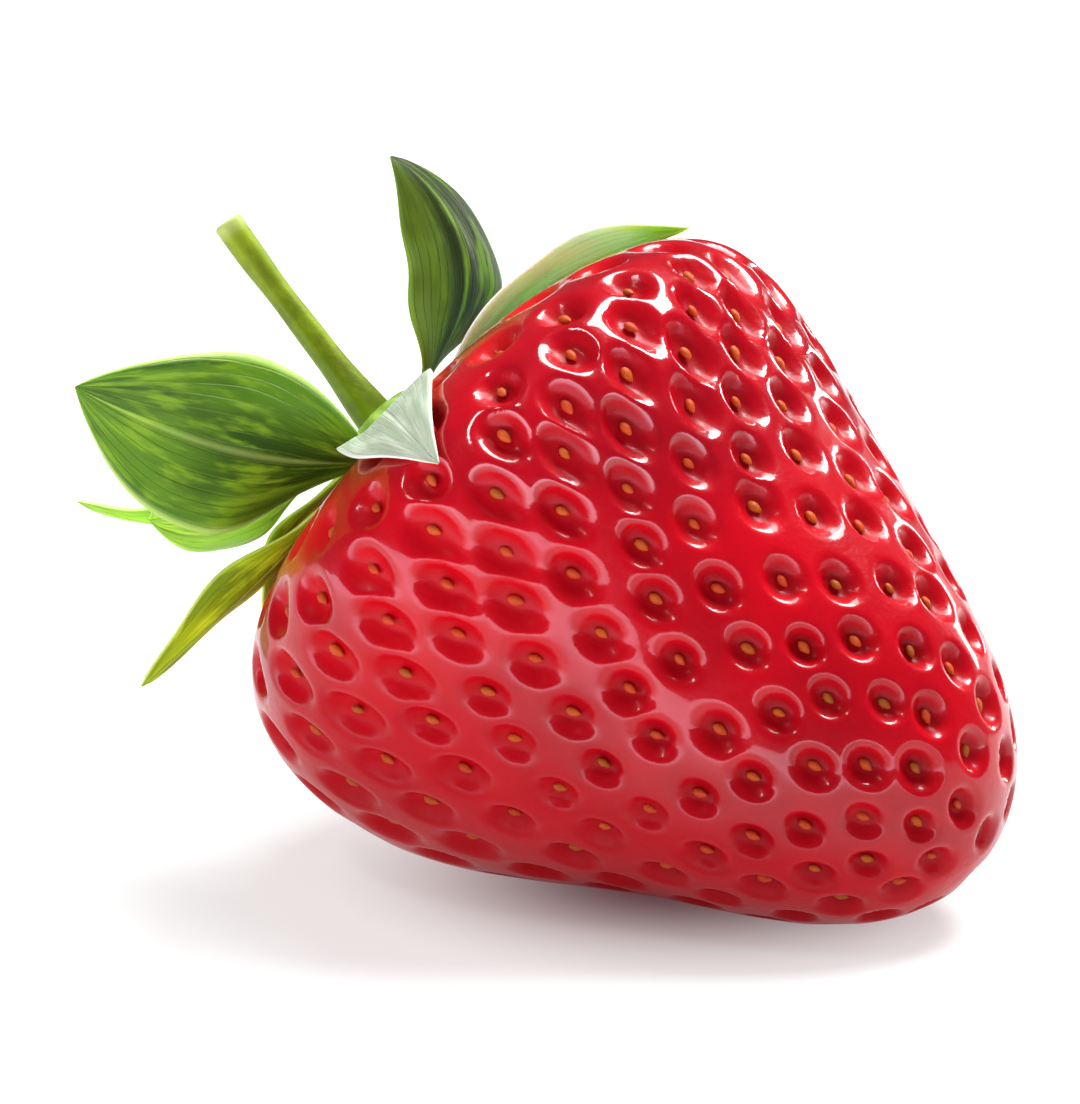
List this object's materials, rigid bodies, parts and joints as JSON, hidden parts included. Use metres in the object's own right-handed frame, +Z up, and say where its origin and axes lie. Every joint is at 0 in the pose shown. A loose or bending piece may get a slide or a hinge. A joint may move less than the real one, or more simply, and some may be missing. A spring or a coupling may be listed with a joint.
{
  "type": "strawberry",
  "caption": "Ripe strawberry lying on its side, a blunt cone with seeds in its dimpled red skin, a green leafy cap and a cut stem.",
  "frame": {"origin": "middle of the flat that the fruit rests on", "axes": "+Z up, +X the way the fruit's tip points, so that the leafy cap is at -X; -Y is the near side of the picture"},
  "size_m": [0.0565, 0.0404, 0.0408],
  "materials": {
    "skin": "glossy moist red fruit skin",
    "seed": "dry golden seed shell",
    "leaf": "satin green leaf with a pale underside",
    "disc": "matt pale green",
    "stem": "satin yellow-green stalk with a pale cut end"
  },
  "bodies": {
    "root": {"fruit": "skin", "disc": "disc", "stem": "stem", "leaf_01": "leaf", "leaf_02": "leaf", "leaf_03": "leaf", "leaf_04": "leaf", "leaf_05": "leaf", "leaf_06": "leaf", "leaf_07": "leaf", "leaf_08": "leaf", "leaf_09": "leaf", "leaf_10": "leaf", "leaf_11": "leaf"}
  },
  "joints": []
}
